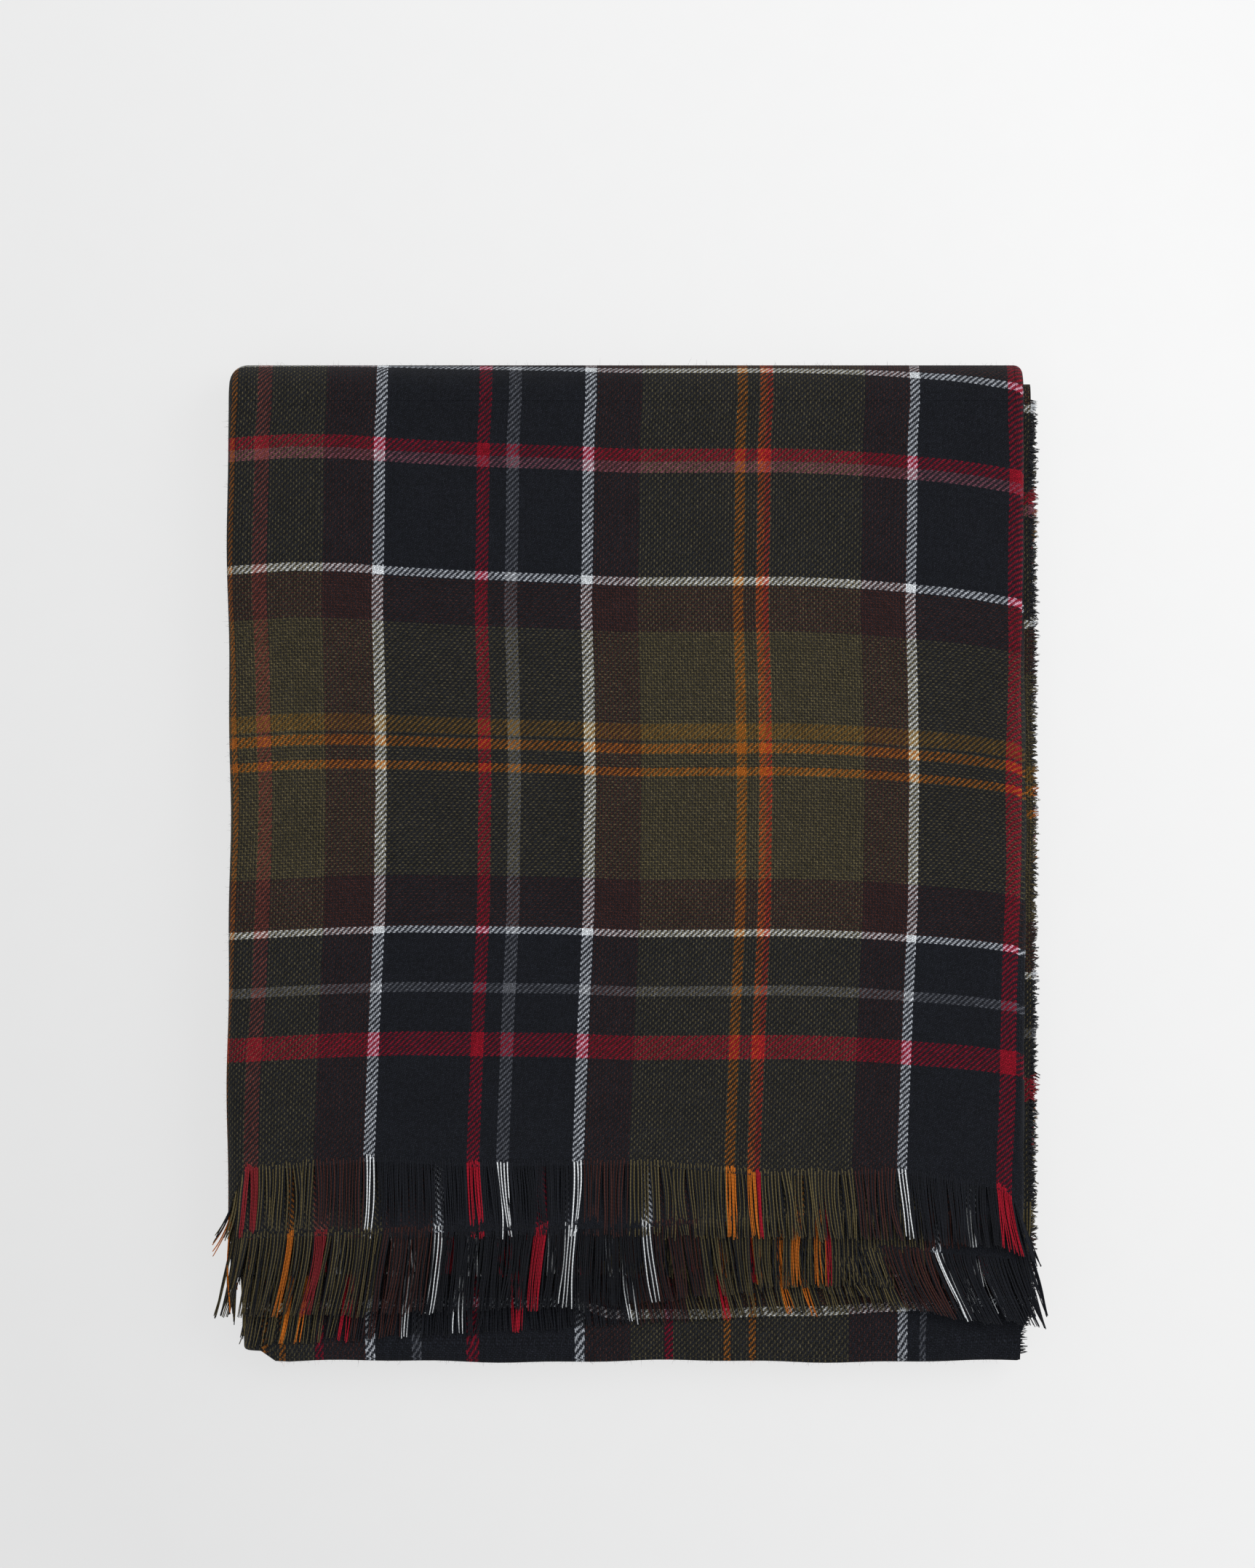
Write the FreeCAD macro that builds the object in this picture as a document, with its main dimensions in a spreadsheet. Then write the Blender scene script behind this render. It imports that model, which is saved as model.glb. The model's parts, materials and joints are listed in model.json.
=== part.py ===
import FreeCAD, Part
import os

# A checked throw folded into a flat packet of sixteen plies. The cloth is halved end to end, halved side to
# side twice, and halved end to end once more. The last fold, the top fold, is the hinge: the eight upper plies
# (the flap) open away from the eight lower ones (the base). Plies are numbered outwards from the hinge axis,
# so flap ply 8 is the front of the packet, base ply 8 lies on the table, and top fold 8 joins the two.
# X runs across the packet, Y up it towards the top fold, and Z upwards from the table. The origin is under
# the middle of the packet.

doc = FreeCAD.newDocument("FoldedThrow")

SIZES = (
    ("foldedWidth", 349.8, "across the packet, from the left folds to the right folds"),
    ("foldedLength", 440.0, "up the packet, from the bottom folds to the top fold"),
    ("foldOffset", -2.6, "X of the middle of the folded width"),
    ("clothThickness", 1.7, "one ply of brushed twill"),
    ("layerGap", 0.4, "air between two plies"),
    ("rawEdgeStep", 3.3, "cut side edges standing out past the right folds"),
    ("rawTuft", 3.0, "cut weft ends that stick out of a side edge"),
    ("fringeLength", 30.0, "unwoven warp ends past the last pick"),
    ("fringeThickness", 1.2, "a row of fringe strands lying flat"),
    ("flareLeft", 7.9, "outermost strands leaning out past the left folds"),
    ("flareRight", 13.1, "outermost strands leaning out past the right folds"),
    ("firstHem", 87.5, "hem of the front ply above the bottom folds"),
    ("secondHem", 59.0, "hem of the ply behind it"),
    ("hiddenHem", 68.0, "hems of the five plies in the middle of the flap"),
    ("lastHem", 36.0, "hem of the lowest ply of the flap"),
)

sheet = doc.addObject("Spreadsheet::Sheet", "Sizes")
for row, (alias, size, meaning) in enumerate(SIZES, start=1):
    sheet.set(f"A{row}", alias)
    sheet.set(f"B{row}", str(size))
    sheet.set(f"C{row}", meaning)
    sheet.setAlias(f"B{row}", alias)
doc.recompute()

# Sizes that follow from the driving ones, as expressions on the sheet.
PLIES = 8
CLOTH = "Sizes.clothThickness"
PITCH = "(Sizes.clothThickness + Sizes.layerGap)"
AXIS_Z = f"({PLIES - 0.5} * {PITCH} + {CLOTH} / 2)"
BOTTOM_Y = "(-Sizes.foldedLength / 2)"
TOP_Y = f"(Sizes.foldedLength / 2 - {AXIS_Z})"
LAST_PICK_Y = f"({BOTTOM_Y} + ({PITCH} + {CLOTH}) / 2)"
LEFT_FOLD_X = "(Sizes.foldOffset - Sizes.foldedWidth / 2)"
RIGHT_FOLD_X = "(Sizes.foldOffset + Sizes.foldedWidth / 2)"
SIDE_EDGE_X = f"({RIGHT_FOLD_X} + Sizes.rawEdgeStep)"

# Which plies each fold joins, and how many pitches lie between the fold's middle and the hinge axis.
LEFT_FOLDS = ((5, 4), (6, 3), (7, 2), (8, 1))
RIGHT_FOLDS = ((7, 6), (8, 5))
BOTTOM_FOLDS = ((2, 1), (4, 3), (6, 5), (8, 7))
LEFT_MIDDLE = PLIES / 2
RIGHT_MIDDLE = PLIES * 3 / 4
CUT_PLIES = range(1, 5)
HEMS = {8: "firstHem", 7: "secondHem", 1: "lastHem"}

LEFT_X = f"({LEFT_FOLD_X} + {LEFT_MIDDLE - 0.5} * {PITCH} + {CLOTH} / 2)"
RIGHT_X = f"({RIGHT_FOLD_X} - {PLIES - RIGHT_MIDDLE - 0.5} * {PITCH} - {CLOTH} / 2)"

X = FreeCAD.Vector(1, 0, 0)
Y = FreeCAD.Vector(0, 1, 0)
Z = FreeCAD.Vector(0, 0, 1)

made = []


def reach(outer, inner):
    """Pitches from the middle of the fold that joins two plies to the middle of either one."""
    return (outer - inner) / 2


def ply_right_x(ply):
    """Where a ply ends on the right: at a cut side edge, or where its right fold starts."""
    return SIDE_EDGE_X if ply in CUT_PLIES else RIGHT_X


def hem_y(ply):
    """The hem of a flap ply."""
    return f"({BOTTOM_Y} + Sizes.{HEMS.get(ply, 'hiddenHem')})"


def fold_start_y(side, outer):
    """Where a side fold starts: at the front hem, above the hidden hems, or at the bottom folds."""
    if side < 0:
        return LAST_PICK_Y
    return hem_y(outer) if outer == PLIES else f"({BOTTOM_Y} + Sizes.hiddenHem)"


def ply_z(side, ply):
    """The middle of a ply: side is 1 in the flap and -1 in the base."""
    return f"({AXIS_Z} + {side * (ply - 0.5)} * {PITCH})"


def add(kind, name):
    """A new object, whose label is its name."""
    thing = doc.addObject(kind, name)
    thing.Label = name
    return thing


def place(thing, x, y, z, turn=None):
    """Binds a position to the sheet, and turns the object about it."""
    if turn:
        thing.Placement = FreeCAD.Placement(FreeCAD.Vector(), turn)
    thing.setExpression("Placement.Base.x", x)
    thing.setExpression("Placement.Base.y", y)
    thing.setExpression("Placement.Base.z", z)
    return thing


def finished(thing):
    """Marks a sub-part for its own file."""
    made.append(thing)
    return thing


def plate(name, low_x, high_x, low_y, high_y, middle_z, thickness):
    """A flat stretch of cloth between two folds or edges."""
    box = add("Part::Box", name)
    box.setExpression("Length", f"{high_x} - {low_x}")
    box.setExpression("Width", f"{high_y} - {low_y}")
    box.setExpression("Height", thickness)
    return place(box, low_x, low_y, f"{middle_z} - {thickness} / 2")


def round_fold(name, pitches, length, x, y, z, bulge, along):
    """A half tube of cloth: pitches is its radius, bulge the way it curves out and along its axis."""
    outer = add("Part::Cylinder", f"{name}_outside")
    outer.setExpression("Radius", f"{pitches} * {PITCH} + {CLOTH} / 2")
    outer.Angle = 180
    inner = add("Part::Cylinder", f"{name}_inside")
    inner.setExpression("Radius", f"{pitches} * {PITCH} - {CLOTH} / 2")
    for tube in (outer, inner):
        tube.setExpression("Height", length)
    fold = add("Part::Cut", name)
    fold.Base = outer
    fold.Tool = inner
    turn = FreeCAD.Rotation(bulge.cross(along), bulge, along, "ZYX")
    return place(fold, x, y, z, turn)


def swept_corner(name, middle, pitches, x, side):
    """Where a side fold is carried round the top fold: half of a ring with a round section, hollow inside."""
    rings = []
    for suffix, sign in (("outside", "+"), ("inside", "-")):
        ring = add("Part::Torus", f"{name}_{suffix}")
        ring.setExpression("Radius1", f"{middle} * {PITCH}")
        ring.setExpression("Radius2", f"{pitches} * {PITCH} {sign} {CLOTH} / 2")
        ring.Angle3 = 180
        place(ring, x, TOP_Y, AXIS_Z, FreeCAD.Rotation(Z * -1, Y, X, "ZYX"))
        rings.append(ring)
    wall = add("Part::Cut", f"{name}_wall")
    wall.Base, wall.Tool = rings
    keep = add("Part::Box", f"{name}_keep")
    keep.setExpression("Length", AXIS_Z)
    keep.setExpression("Width", AXIS_Z)
    keep.setExpression("Height", f"2 * {AXIS_Z}")
    place(keep, x if side > 0 else f"{x} - {AXIS_Z}", TOP_Y, "0")
    corner = add("Part::Common", name)
    corner.Base = wall
    corner.Tool = keep
    return corner


def bundle(name, things):
    """Several like solids in one sub-part."""
    group = add("Part::Compound", name)
    group.Links = things
    return finished(group)


def make_half(half, side):
    """The eight plies of the flap or the base, with their side folds and cut edges."""
    for ply in range(1, PLIES + 1):
        low_y = hem_y(ply) if side > 0 else LAST_PICK_Y
        finished(plate(f"{half}_ply_{ply}", LEFT_X, ply_right_x(ply), low_y, TOP_Y, ply_z(side, ply), CLOTH))
    groups = (
        ("left", LEFT_FOLDS, LEFT_MIDDLE, LEFT_X, X * -1),
        ("right", RIGHT_FOLDS, RIGHT_MIDDLE, RIGHT_X, X),
    )
    for edge, folds, middle, x, bulge in groups:
        for number, (outer, inner) in enumerate(folds, start=1):
            start = fold_start_y(side, outer)
            z = f"({AXIS_Z} + {side * middle} * {PITCH})"
            name = f"{half}_{edge}_fold_{number}"
            finished(round_fold(name, reach(outer, inner), f"{TOP_Y} - {start}", x, start, z, bulge, Y))
    tufts = []
    for ply in CUT_PLIES:
        low_y = hem_y(ply) if side > 0 else LAST_PICK_Y
        high_x = f"({SIDE_EDGE_X} + Sizes.rawTuft)"
        name = f"{half}_tufts_{ply}"
        tufts.append(plate(name, SIDE_EDGE_X, high_x, low_y, TOP_Y, ply_z(side, ply), "Sizes.fringeThickness"))
    bundle(f"{half}_cut_edge_tufts", tufts)


def make_fringes():
    """The unwoven warp ends below each flap ply, fanning out towards their tips."""
    thickness = "Sizes.fringeThickness"
    for ply in range(1, PLIES + 1):
        fringe = add("Part::Wedge", f"fringe_{ply}")
        fringe.Xmin = 0
        fringe.Ymin = 0
        fringe.Zmin = 0
        fringe.Z2min = 0
        low_x = f"({LEFT_FOLD_X} - Sizes.flareLeft)"
        high_x = f"({RIGHT_FOLD_X} + Sizes.flareRight)"
        fringe.setExpression("Xmax", f"{high_x} - {low_x}")
        fringe.setExpression("X2min", f"{LEFT_X} - {low_x}")
        fringe.setExpression("X2max", f"{ply_right_x(ply)} - {low_x}")
        fringe.setExpression("Ymax", "Sizes.fringeLength")
        fringe.setExpression("Zmax", thickness)
        fringe.setExpression("Z2max", thickness)
        z = f"{ply_z(1, ply)} - {thickness} / 2"
        finished(place(fringe, low_x, f"{hem_y(ply)} - Sizes.fringeLength", z))


def make_top_folds():
    """The eight nested bends at the hinge, and the side folds that are carried round it."""
    for ply in range(1, PLIES + 1):
        length = f"{ply_right_x(ply)} - {LEFT_X}"
        finished(round_fold(f"top_fold_{ply}", ply - 0.5, length, LEFT_X, TOP_Y, AXIS_Z, Y, X))
    left = [
        swept_corner(f"left_corner_{number}", LEFT_MIDDLE, reach(*pair), LEFT_X, -1)
        for number, pair in enumerate(LEFT_FOLDS, start=1)
    ]
    right = [
        swept_corner(f"right_corner_{number}", RIGHT_MIDDLE, reach(*pair), RIGHT_X, 1)
        for number, pair in enumerate(RIGHT_FOLDS, start=1)
    ]
    bundle("top_left_corner_folds", left)
    bundle("top_right_corner_folds", right)


def make_bottom_folds():
    """The four tight folds at the middle of the cloth's length, one for each panel."""
    for number, (outer, inner) in enumerate(BOTTOM_FOLDS, start=1):
        length = f"{ply_right_x(outer)} - {LEFT_X}"
        z = f"({AXIS_Z} - {(outer + inner - 1) / 2} * {PITCH})"
        name = f"bottom_fold_{number}"
        finished(round_fold(name, reach(outer, inner), length, LEFT_X, LAST_PICK_Y, z, Y * -1, X))


make_half("flap", 1)
make_half("base", -1)
make_fringes()
make_top_folds()
make_bottom_folds()
doc.recompute()

faults = [thing.Name for thing in doc.Objects if {"Invalid", "Error"} & set(thing.State)]
faults += [thing.Label for thing in made if thing.Shape.isNull() or not thing.Shape.isValid()]
if faults:
    raise RuntimeError(f"These did not build: {', '.join(faults)}")

os.makedirs("parts", exist_ok=True)
for thing in made:
    thing.Shape.exportStep(os.path.join("parts", f"{thing.Label}.step"))
    print(f"{thing.Label}: {thing.Shape.Volume:.1f} mm3, {len(thing.Shape.Solids)} solid(s)")
print(f"{len(made)} sub-parts")
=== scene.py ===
# %% [markdown]
# # A checked throw, folded into a packet
# The real object is one long rectangle of brushed twill with fringed ends. It was halved end to end, halved
# twice side to side, and halved end to end once more, so sixteen plies lie on each other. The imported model
# gives every ply's place. This script covers those plain plies with real cloth: curved sheets that carry
# their own thread coordinates, a woven material that reads those coordinates, and loose yarns.

# %% Load the fixed frame
import json
import math
import bpy
import numpy as np
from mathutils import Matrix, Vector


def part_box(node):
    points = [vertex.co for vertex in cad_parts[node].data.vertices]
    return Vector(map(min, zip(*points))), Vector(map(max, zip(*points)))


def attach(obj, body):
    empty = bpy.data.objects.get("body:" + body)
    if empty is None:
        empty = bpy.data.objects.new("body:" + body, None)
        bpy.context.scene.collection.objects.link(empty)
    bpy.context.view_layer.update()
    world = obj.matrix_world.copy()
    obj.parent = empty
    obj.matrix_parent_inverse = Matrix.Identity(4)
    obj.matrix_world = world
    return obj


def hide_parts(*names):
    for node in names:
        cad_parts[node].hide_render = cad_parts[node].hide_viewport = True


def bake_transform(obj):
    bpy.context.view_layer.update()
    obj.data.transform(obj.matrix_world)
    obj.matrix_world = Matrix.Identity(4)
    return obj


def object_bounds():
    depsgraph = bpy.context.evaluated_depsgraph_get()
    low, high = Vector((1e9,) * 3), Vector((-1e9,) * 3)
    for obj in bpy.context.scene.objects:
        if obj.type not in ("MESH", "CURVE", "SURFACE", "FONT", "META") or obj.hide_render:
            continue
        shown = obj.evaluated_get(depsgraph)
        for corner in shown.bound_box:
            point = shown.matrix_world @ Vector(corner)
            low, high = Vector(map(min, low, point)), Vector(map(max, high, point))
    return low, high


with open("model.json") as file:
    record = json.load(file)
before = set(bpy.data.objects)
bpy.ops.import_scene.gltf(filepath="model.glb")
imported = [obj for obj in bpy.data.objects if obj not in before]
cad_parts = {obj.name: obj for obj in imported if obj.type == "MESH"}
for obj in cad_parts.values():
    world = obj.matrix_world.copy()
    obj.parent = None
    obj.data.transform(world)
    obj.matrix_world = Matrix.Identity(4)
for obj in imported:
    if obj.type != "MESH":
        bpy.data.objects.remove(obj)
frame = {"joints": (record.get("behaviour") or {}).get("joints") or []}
cad_low, cad_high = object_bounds()

# %% [markdown]
# ## Sizes from the frame
# Nothing is placed by eye: the plies' boxes give the pitch of the pile, the ends of the flat runs, the cut
# side edges and the last pick. The hinge is the line that the last fold turns about. All lengths below are in
# millimetres, because threads are easier to count that way, and a mesh is scaled to metres when it is made.

# %% Read the pile's sizes
MM = 0.001
PLIES = 8
front_low, front_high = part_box("flap_ply_8")
second_low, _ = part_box("flap_ply_7")
_, lowest_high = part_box("flap_ply_1")
under_low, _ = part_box("base_ply_1")
hinge = frame["joints"][0]["pos_m"]
HINGE_Y, HINGE_Z = hinge[1] / MM, hinge[2] / MM
CLOTH = (front_high.z - front_low.z) / MM
PITCH = (front_low.z - second_low.z) / MM
LEFT_X, RIGHT_X = front_low.x / MM, front_high.x / MM
CUT_X = lowest_high.x / MM
LAST_PICK_Y = under_low.y / MM
print("pitch", round(PITCH, 3), "cloth", round(CLOTH, 3), "runs", LEFT_X, RIGHT_X, CUT_X, LAST_PICK_Y)

# %% [markdown]
# ## Camera
# The packet is seen from straight above, like a flat lay. A long lens from three metres keeps the lower plies
# from shrinking behind the front one. The camera looks down by default, so it needs no turn.

# %% Make the camera
VIEW_LENGTH, VIEW_HEIGHT = 0.6884, 3.0
VIEW_X, VIEW_Y = -0.0019, 0.0351
SENSOR = 36.0
camera_data = bpy.data.cameras.new("overhead_camera")
camera_data.sensor_width = SENSOR
camera_data.lens = SENSOR * VIEW_HEIGHT / VIEW_LENGTH
camera = bpy.data.objects.new("overhead_camera", camera_data)
camera.location = (VIEW_X, VIEW_Y, cad_high.z + VIEW_HEIGHT)
bpy.context.scene.collection.objects.link(camera)
bpy.context.scene.camera = camera
bpy.context.scene.view_settings.view_transform = "Standard"
print("lens", round(camera_data.lens, 1), "mm")

# %% [markdown]
# ## Small helpers for node trees
# Every finish below is made of nodes. These helpers keep the cells short: they add a node, do arithmetic,
# mix, and build a named group whose inputs and outputs can be read like a function's.

# %% Node helpers
def add(tree, kind, **settings):
    """A new node with its settings."""
    node = tree.nodes.new("ShaderNode" + kind)
    for name, value in settings.items():
        setattr(node, name, value)
    return node


def feed(tree, socket, value):
    """A socket takes either another socket or a plain number or colour."""
    if isinstance(value, bpy.types.NodeSocket):
        tree.links.new(value, socket)
    else:
        socket.default_value = value


def calc(tree, operation, *values):
    """One step of arithmetic."""
    node = add(tree, "Math", operation=operation)
    for socket, value in zip(node.inputs, values):
        feed(tree, socket, value)
    return node.outputs[0]


def grey(tree, value):
    """A number as a neutral colour."""
    node = add(tree, "CombineXYZ")
    for socket in node.inputs:
        feed(tree, socket, value)
    return node.outputs[0]


def mix_colour(tree, share, first, second, how="MIX"):
    """Two colours mixed by a share."""
    node = add(tree, "Mix", data_type="RGBA", blend_type=how)
    feed(tree, node.inputs[0], share)
    feed(tree, node.inputs[6], first)
    feed(tree, node.inputs[7], second)
    return node.outputs[2]


def mix_value(tree, share, first, second):
    """Two numbers mixed by a share."""
    node = add(tree, "Mix", data_type="FLOAT")
    feed(tree, node.inputs[0], share)
    feed(tree, node.inputs[2], first)
    feed(tree, node.inputs[3], second)
    return node.outputs[0]


def shaded(tree, colour, tone):
    """A colour multiplied by a grey tone."""
    return mix_colour(tree, 1.0, colour, grey(tree, tone), "MULTIPLY")


def grain(tree, scale, across, along, detail=2.0):
    """Smooth noise from 0 to 1 over the cloth's own coordinates."""
    place = add(tree, "CombineXYZ")
    feed(tree, place.inputs[0], across)
    feed(tree, place.inputs[1], along)
    node = add(tree, "TexNoise", noise_dimensions="2D")
    tree.links.new(place.outputs[0], node.inputs["Vector"])
    node.inputs["Scale"].default_value = scale
    node.inputs["Detail"].default_value = detail
    return node.outputs["Fac"]


def group(name, inputs, outputs):
    """An empty node group with named sockets: (tree, its input sockets, its output node)."""
    tree = bpy.data.node_groups.new(name, "ShaderNodeTree")
    kinds = {"number": "NodeSocketFloat", "colour": "NodeSocketColor"}
    for label, kind in inputs:
        tree.interface.new_socket(label, in_out="INPUT", socket_type=kinds[kind])
    for label, kind in outputs:
        tree.interface.new_socket(label, in_out="OUTPUT", socket_type=kinds[kind])
    return tree, tree.nodes.new("NodeGroupInput").outputs, tree.nodes.new("NodeGroupOutput")


def use(tree, made, **values):
    """Places a group in a material, with its own values, and returns its outputs."""
    node = tree.nodes.new("ShaderNodeGroup")
    node.node_tree = made
    for label, value in values.items():
        feed(tree, node.inputs[label.replace("_", " ")], value)
    return node.outputs


# %% [markdown]
# ## Yarn colours
# The cloth is woven from twelve shades of yarn. Colours are written as a dyer would match them on a screen,
# and turned into the linear numbers that a shader needs. Olive and brown stripes aren't solid: every second
# thread in them is navy, which is why they look so muted. The grey stripe is fine white yarn between navy
# ones, brushed until it greys, so in the loose fringe it shows as white strands.

# %% Dye the yarns
def linear(level):
    """A screen level from 0 to 255 as linear light."""
    share = level / 255
    return share / 12.92 if share <= 0.04045 else ((share + 0.055) / 1.055) ** 2.4


def dye(red, green, blue):
    return (linear(red), linear(green), linear(blue), 1.0)


YARNS = {
    "navy": dye(25, 27, 33),
    "brown": dye(66, 36, 31),
    "olive": dye(92, 82, 54),
    "orange": dye(166, 92, 28),
    "gold": dye(120, 86, 36),
    "red": dye(140, 14, 34),
    "rust": dye(118, 58, 48),
    "flame": dye(186, 78, 30),
    "ember": dye(176, 54, 34),
    "white": dye(222, 226, 230),
    "grey": dye(92, 94, 100),
    "pink": dye(128, 70, 82),
}
MARLED = ("olive", "brown")
LOOSE_YARNS = {**YARNS, "white": dye(240, 243, 245), "grey": dye(240, 243, 245), "red": dye(165, 18, 40)}
LOOSE_YARNS.update({"rust": dye(128, 34, 40), "orange": dye(190, 104, 28), "flame": dye(190, 104, 28)})
LOOSE_YARNS["ember"] = LOOSE_YARNS["red"]
LOOSE_MARLED = ("olive", "brown", "grey", "white")
THREAD = 0.734

WARP = """navy 44 grey 4 navy 8 white 6 brown 28 olive 57 orange 4 olive 11 orange 4 olive 31 red 5 olive 20
brown 28 white 6 navy 57 red 7 navy 27 grey 6 navy 22 white 6 brown 28 red 6 olive 21 orange 4 olive 8
orange 4 olive 40 orange 4 olive 12 rust 8 olive 33 brown 29 white 6 navy 56 red 8 navy 10 grey 8 navy 38
white 6 brown 27 olive 58 orange 6 olive 7 flame 5 ember 3 olive 54 brown 28 white 6 navy 53 red 9 navy 56
white 6 brown 28 olive 56 orange 6 olive 9 flame 5 ember 3 olive 53 brown 28 white 6 navy 56 red 8 navy 10
grey 8 navy 38 white 6 brown 28 olive 57 orange 4 olive 11 orange 4 olive 31 red 5 olive 20 brown 28 white 6
navy 57 red 7 navy 27 grey 6 navy 22 white 6 brown 28 red 6 olive 21 orange 4 olive 8 orange 4 olive 72"""
WEFT_MM = """navy 47.9 red 57.8 navy 75.7 grey 80.1 navy 101.9 white 105.7 brown 127.4 olive 173.1
orange 177.1 olive 183 orange 187 olive 189.5 gold 196 olive 235.3 brown 256.4 white 260.2 navy 306.2
pink 311.3 red 316.8 navy 351.8 white 355.5 brown 376.5 olive 416.5 orange 419.3 olive 427 orange 430
olive 434 gold 440 olive 495 brown 516.4 white 520 navy 566 red 576 navy 594 grey 598 navy 618 white 622
brown 643 olive 688 orange 690.7 olive 698 orange 701 olive 705 gold 711 olive 762 brown 791.5 white 795.3
navy 900"""


def warp_blocks():
    words = WARP.split()
    return [(yarn, int(count)) for yarn, count in zip(words[::2], words[1::2])]


def weft_blocks():
    words, blocks, done = WEFT_MM.split(), [], 0
    for yarn, end in zip(words[::2], words[1::2]):
        last = round(float(end) / THREAD)
        blocks.append((yarn, last - done))
        done = last
    return blocks


print("warp ends", sum(n for _, n in warp_blocks()), "picks to the middle", sum(n for _, n in weft_blocks()))

# %% [markdown]
# ## The thread order as colour ramps
# A colour ramp with constant steps is a natural way to store a stripe order. Cycles keeps 256 entries for a
# ramp, so one ramp holds exactly 255 threads, and several ramps in a row hold the whole width. The ramp's
# alpha says whether a stripe is solid, or marled with navy: every second thread or strand in it is navy then,
# and in the brushed cloth their fibres mix a little.

# %% Build the thread orders
RAMP_THREADS = 255


def thread_order(name, blocks, yarns, marled):
    """A group that turns a thread's number into its colour, and says whether the stripe is solid."""
    tree, inside, out = group(name, [("Thread", "number")], [("Colour", "colour"), ("Solid", "number")])
    thread = calc(tree, "FLOOR", inside["Thread"])
    starts = np.cumsum([0] + [count for _, count in blocks])
    colour = solid = None
    for first in range(0, int(starts[-1]), RAMP_THREADS):
        ramp = add(tree, "ValToRGB")
        ramp.color_ramp.interpolation = "CONSTANT"
        share = calc(tree, "DIVIDE", calc(tree, "SUBTRACT", thread, first - 0.5), RAMP_THREADS)
        feed(tree, ramp.inputs[0], share)
        inked = 0
        for (yarn, count), start in zip(blocks, starts):
            if start + count <= first or start >= first + RAMP_THREADS:
                continue
            place = max(0.0, (start - first - 0.25) / RAMP_THREADS)
            stops = ramp.color_ramp.elements
            stop = stops[0] if inked == 0 else stops[1] if inked == 1 else stops.new(place)
            stop.position = place
            stop.color = yarns[yarn][:3] + (0.0 if yarn in marled else 1.0,)
            inked += 1
        if inked == 1:
            ramp.color_ramp.elements.remove(ramp.color_ramp.elements[1])
        if colour is None:
            colour, solid = ramp.outputs[0], ramp.outputs[1]
        else:
            past = calc(tree, "GREATER_THAN", thread, first - 0.5)
            colour = mix_colour(tree, past, colour, ramp.outputs[0])
            solid = mix_value(tree, past, solid, ramp.outputs[1])
    feed(tree, out.inputs["Colour"], colour)
    feed(tree, out.inputs["Solid"], solid)
    return tree


warp_order = thread_order("warp_order", warp_blocks(), YARNS, MARLED)
loose_order = thread_order("loose_warp_order", warp_blocks(), LOOSE_YARNS, LOOSE_MARLED)
weft_order = thread_order("weft_order", weft_blocks(), YARNS, MARLED)
print("thread orders", warp_order.name, loose_order.name, weft_order.name)

# %% [markdown]
# ## Mirror at the middle of the throw
# The weft order runs the same from both ends to the middle. Folding the coordinate at the middle saves
# writing the second half.

# %% The weft from either end
MIDDLE = 812.0


def weft_thread(tree, along):
    """The number of picks from the nearer end."""
    nearer = calc(tree, "MINIMUM", along, calc(tree, "SUBTRACT", 2 * MIDDLE, along))
    return calc(tree, "DIVIDE", nearer, THREAD)


# %% [markdown]
# ## The twill
# In a two-and-two twill each thread goes over two and under two, one step further along in every row, and
# that draws the diagonal. The group works out which thread is on top at each point, how far along its float
# the point is, and from that a height and a colour. The colour carries painted shade in the gaps between
# threads and a painted highlight on the tops of the floats. Brushing pulls fibres of the lower thread up
# between the upper ones, so the two colours are multiplied together in unequal shares instead of cut sharply.
# The twill is set closer than the fringe, whose ends are twisted together from the cloth's finer ones.

# %% Build the twill group
WEAVE = 0.62
REPEAT, FLOAT = 4, 2
FRAY_SCALE, FRAY = 1.3, 0.7
MELANGE_SCALE, MELANGE_CONTRAST, MARL = 2.6, 2.6, 0.7
FUZZ_SCALE, FUZZ_HEIGHT = 2.2, 0.7
PAINTED_TOP_HIGHLIGHT = 1.5
WEFT_TONES = 7000.0


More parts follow.
